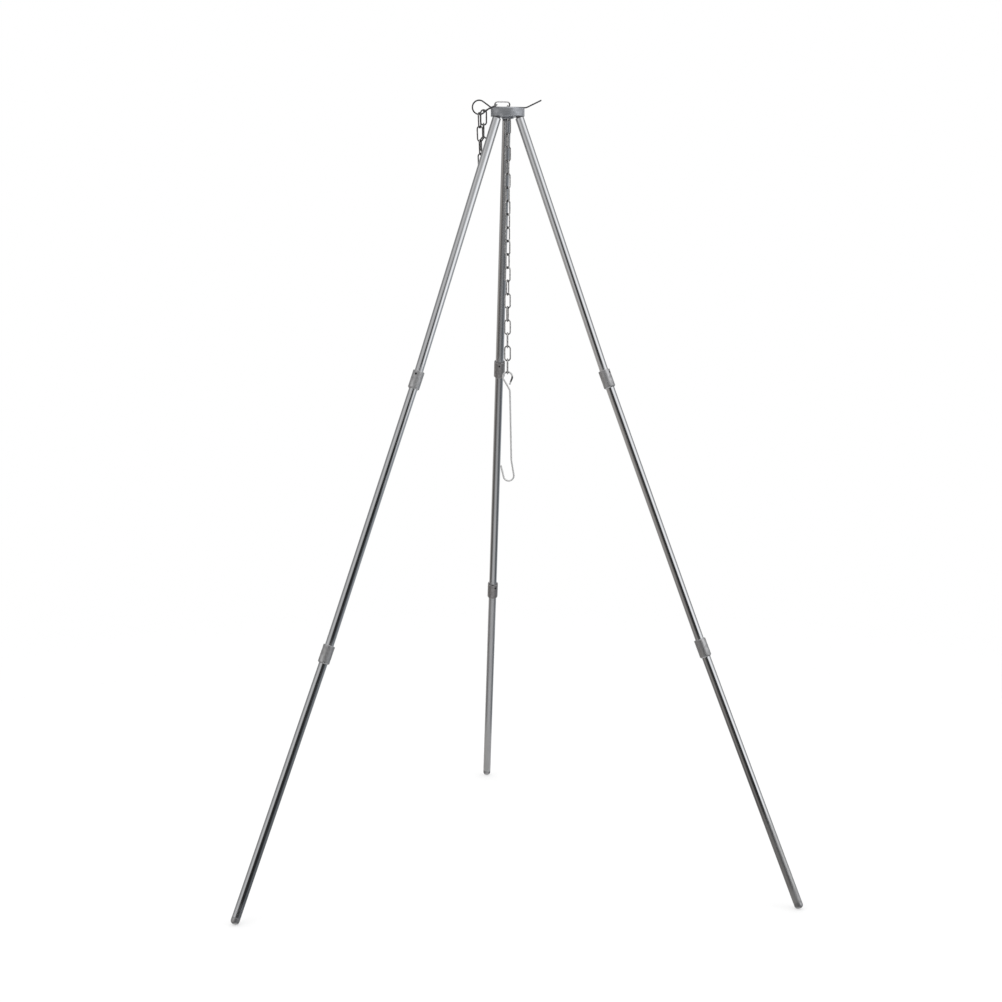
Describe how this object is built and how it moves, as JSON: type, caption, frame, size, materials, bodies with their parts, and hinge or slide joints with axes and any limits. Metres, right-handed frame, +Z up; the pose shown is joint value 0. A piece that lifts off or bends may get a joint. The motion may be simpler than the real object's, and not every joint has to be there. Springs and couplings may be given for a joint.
{
  "type": "campfire tripod",
  "caption": "Folding campfire tripod: round head, plug-together tube legs, adjustable chain with wire lock pin and pot hook.",
  "frame": {"origin": "on the ground straight below the middle of the head", "axes": "+Z up, +Y towards the rear leg, the front legs towards -X and +X"},
  "size_m": [0.7104, 0.6166, 1.0069],
  "materials": {
    "leg_tube": "bright drawn tube",
    "collar": "matt die-cast",
    "set_screw": "black oxide",
    "head": "matt sand-cast",
    "leg_end": "matt die-cast",
    "pivot_pin": "plain",
    "pin_wire": "bright zinc plated",
    "hook_wire": "bright zinc plated",
    "chain_wire": "bright zinc plated"
  },
  "bodies": {
    "head": {"head_disc": "head", "pivot_pins": "pivot_pin", "spare_link_top": "chain_wire", "spare_link_rim": "chain_wire", "chain_link_01": "chain_wire"},
    "left_upper": {"left_leg_eye": "leg_end", "left_upper_tube": "leg_tube"},
    "left_middle": {"left_upper_collar": "collar", "left_upper_set_screw": "set_screw", "left_middle_tube": "leg_tube"},
    "left_lower": {"left_lower_collar": "collar", "left_lower_set_screw": "set_screw", "left_lower_tube": "leg_tube", "left_foot_cap": "leg_end"},
    "right_upper": {"right_leg_eye": "leg_end", "right_upper_tube": "leg_tube"},
    "right_middle": {"right_upper_collar": "collar", "right_upper_set_screw": "set_screw", "right_middle_tube": "leg_tube"},
    "right_lower": {"right_lower_collar": "collar", "right_lower_set_screw": "set_screw", "right_lower_tube": "leg_tube", "right_foot_cap": "leg_end"},
    "rear_upper": {"rear_leg_eye": "leg_end", "rear_upper_tube": "leg_tube"},
    "rear_middle": {"rear_upper_collar": "collar", "rear_upper_set_screw": "set_screw", "rear_middle_tube": "leg_tube"},
    "rear_lower": {"rear_lower_collar": "collar", "rear_lower_set_screw": "set_screw", "rear_lower_tube": "leg_tube", "rear_foot_cap": "leg_end"},
    "lock_pin": {"lock_pin": "pin_wire"},
    "chain_link_02": {"chain_link_02": "chain_wire"},
    "chain_link_03": {"chain_link_03": "chain_wire"},
    "chain_link_04": {"chain_link_04": "chain_wire"},
    "chain_link_05": {"chain_link_05": "chain_wire"},
    "chain_link_06": {"chain_link_06": "chain_wire"},
    "chain_link_07": {"chain_link_07": "chain_wire"},
    "chain_link_08": {"chain_link_08": "chain_wire"},
    "chain_link_09": {"chain_link_09": "chain_wire"},
    "chain_link_10": {"chain_link_10": "chain_wire"},
    "chain_link_11": {"chain_link_11": "chain_wire"},
    "chain_link_12": {"chain_link_12": "chain_wire"},
    "chain_link_13": {"chain_link_13": "chain_wire"},
    "chain_link_14": {"chain_link_14": "chain_wire"},
    "chain_link_15": {"chain_link_15": "chain_wire"},
    "chain_link_16": {"chain_link_16": "chain_wire"},
    "chain_link_17": {"chain_link_17": "chain_wire"},
    "chain_link_18": {"chain_link_18": "chain_wire"},
    "chain_link_19": {"chain_link_19": "chain_wire"},
    "chain_link_20": {"chain_link_20": "chain_wire"},
    "pot_hook": {"pot_hook": "hook_wire"},
    "ring_strand": {"spare_links_ring_side": "chain_wire"},
    "rim_strand": {"spare_links_head_side": "chain_wire"}
  },
  "joints": [
    {"name": "left_leg_fold", "type": "hinge", "parent": "head", "child": "left_upper", "pos_m": [-0.01212, -0.007, 0.99007], "axis": [0.5, -0.866, 0], "range_deg": [0, 20.5]},
    {"name": "right_leg_fold", "type": "hinge", "parent": "head", "child": "right_upper", "pos_m": [0.01212, -0.007, 0.99007], "axis": [0.5, 0.866, 0], "range_deg": [0, 20.5]},
    {"name": "rear_leg_fold", "type": "hinge", "parent": "head", "child": "rear_upper", "pos_m": [0, 0.014, 0.99007], "axis": [-1, 0, 0], "range_deg": [0, 20.5]},
    {"name": "left_upper_socket", "type": "slide", "parent": "left_upper", "child": "left_middle", "axis": [-0.3202, -0.1849, -0.9291], "range_m": [0, 0.011]},
    {"name": "left_lower_socket", "type": "slide", "parent": "left_middle", "child": "left_lower", "axis": [-0.3328, -0.1921, -0.9232], "range_m": [0, 0.011]},
    {"name": "right_upper_socket", "type": "slide", "parent": "right_upper", "child": "right_middle", "axis": [0.3202, -0.1849, -0.9291], "range_m": [0, 0.011]},
    {"name": "right_lower_socket", "type": "slide", "parent": "right_middle", "child": "right_lower", "axis": [0.3328, -0.1921, -0.9232], "range_m": [0, 0.011]},
    {"name": "rear_upper_socket", "type": "slide", "parent": "rear_upper", "child": "rear_middle", "axis": [0, 0.3697, -0.9291], "range_m": [0, 0.011]},
    {"name": "rear_lower_socket", "type": "slide", "parent": "rear_middle", "child": "rear_lower", "axis": [0, 0.3843, -0.9232], "range_m": [0, 0.011]},
    {"name": "lock_pin_slide", "type": "slide", "parent": "head", "child": "lock_pin", "axis": [0.9945, 0.1045, 0], "range_m": [-0.022, 0]},
    {"name": "pot_hook_swing", "type": "hinge", "parent": "chain_link_20", "child": "pot_hook", "pos_m": [0, 0, 0.6578], "axis": [0, 1, 0], "range_deg": [-20, 20]},
    {"name": "ring_strand_swing", "type": "hinge", "parent": "lock_pin", "child": "ring_strand", "pos_m": [-0.0365, -0.00489, 0.98725], "axis": [0.9945, 0.1045, 0], "range_deg": [-3, 0.5]},
    {"name": "rim_strand_swing", "type": "hinge", "parent": "head", "child": "rim_strand", "pos_m": [-0.03051, 0.0024, 0.99149], "axis": [0, 1, 0], "range_deg": [-5, 0]},
    {"name": "chain_link_02_swing", "type": "hinge", "parent": "head", "child": "chain_link_02", "pos_m": [0, 0, 0.97985], "axis": [0, 1, 0], "range_deg": [-15, 15]},
    {"name": "chain_link_03_swing", "type": "hinge", "parent": "chain_link_02", "child": "chain_link_03", "pos_m": [0, 0, 0.9629], "axis": [0.9966, 0.0826, 0], "range_deg": [-15, 15]},
    {"name": "chain_link_04_swing", "type": "hinge", "parent": "chain_link_03", "child": "chain_link_04", "pos_m": [0, 0, 0.94595], "axis": [-0.1646, 0.9864, 0], "range_deg": [-15, 15]},
    {"name": "chain_link_05_swing", "type": "hinge", "parent": "chain_link_04", "child": "chain_link_05", "pos_m": [0, 0, 0.929], "axis": [-0.9694, -0.2455, 0], "range_deg": [-15, 15]},
    {"name": "chain_link_06_swing", "type": "hinge", "parent": "chain_link_05", "child": "chain_link_06", "pos_m": [0, 0, 0.91205], "axis": [0.3247, -0.9458, 0], "range_deg": [-20, 20]},
    {"name": "chain_link_07_swing", "type": "hinge", "parent": "chain_link_06", "child": "chain_link_07", "pos_m": [0, 0, 0.8951], "axis": [0.9158, 0.4017, 0], "range_deg": [-20, 20]},
    {"name": "chain_link_08_swing", "type": "hinge", "parent": "chain_link_07", "child": "chain_link_08", "pos_m": [0, 0, 0.87815], "axis": [-0.4759, 0.8795, 0], "range_deg": [-20, 20]},
    {"name": "chain_link_09_swing", "type": "hinge", "parent": "chain_link_08", "child": "chain_link_09", "pos_m": [0, 0, 0.8612], "axis": [-0.8372, -0.5469, 0], "range_deg": [-20, 20]},
    {"name": "chain_link_10_swing", "type": "hinge", "parent": "chain_link_09", "child": "chain_link_10", "pos_m": [0, 0, 0.84425], "axis": [0.6142, -0.7891, 0], "range_deg": [-20, 20]},
    {"name": "chain_link_11_swing", "type": "hinge", "parent": "chain_link_10", "child": "chain_link_11", "pos_m": [0, 0, 0.8273], "axis": [0.7357, 0.6773, 0], "range_deg": [-20, 20]},
    {"name": "chain_link_12_swing", "type": "hinge", "parent": "chain_link_11", "child": "chain_link_12", "pos_m": [0, 0, 0.81035], "axis": [-0.7357, 0.6773, 0], "range_deg": [-20, 20]},
    {"name": "chain_link_13_swing", "type": "hinge", "parent": "chain_link_12", "child": "chain_link_13", "pos_m": [0, 0, 0.7934], "axis": [0.6142, 0.7891, 0], "range_deg": [-20, 20]},
    {"name": "chain_link_14_swing", "type": "hinge", "parent": "chain_link_13", "child": "chain_link_14", "pos_m": [0, 0, 0.77645], "axis": [0.8372, -0.5469, 0], "range_deg": [-20, 20]},
    {"name": "chain_link_15_swing", "type": "hinge", "parent": "chain_link_14", "child": "chain_link_15", "pos_m": [0, 0, 0.7595], "axis": [0.4759, 0.8795, 0], "range_deg": [-20, 20]},
    {"name": "chain_link_16_swing", "type": "hinge", "parent": "chain_link_15", "child": "chain_link_16", "pos_m": [0, 0, 0.74255], "axis": [-0.9158, 0.4017, 0], "range_deg": [-20, 20]},
    {"name": "chain_link_17_swing", "type": "hinge", "parent": "chain_link_16", "child": "chain_link_17", "pos_m": [0, 0, 0.7256], "axis": [-0.3247, -0.9458, 0], "range_deg": [-20, 20]},
    {"name": "chain_link_18_swing", "type": "hinge", "parent": "chain_link_17", "child": "chain_link_18", "pos_m": [0, 0, 0.70865], "axis": [0.9694, -0.2455, 0], "range_deg": [-20, 20]},
    {"name": "chain_link_19_swing", "type": "hinge", "parent": "chain_link_18", "child": "chain_link_19", "pos_m": [0, 0, 0.6917], "axis": [0.1646, 0.9864, 0], "range_deg": [-20, 20]},
    {"name": "chain_link_20_swing", "type": "hinge", "parent": "chain_link_19", "child": "chain_link_20", "pos_m": [0, 0, 0.67475], "axis": [0.9966, -0.0826, 0], "range_deg": [-20, 20]}
  ]
}
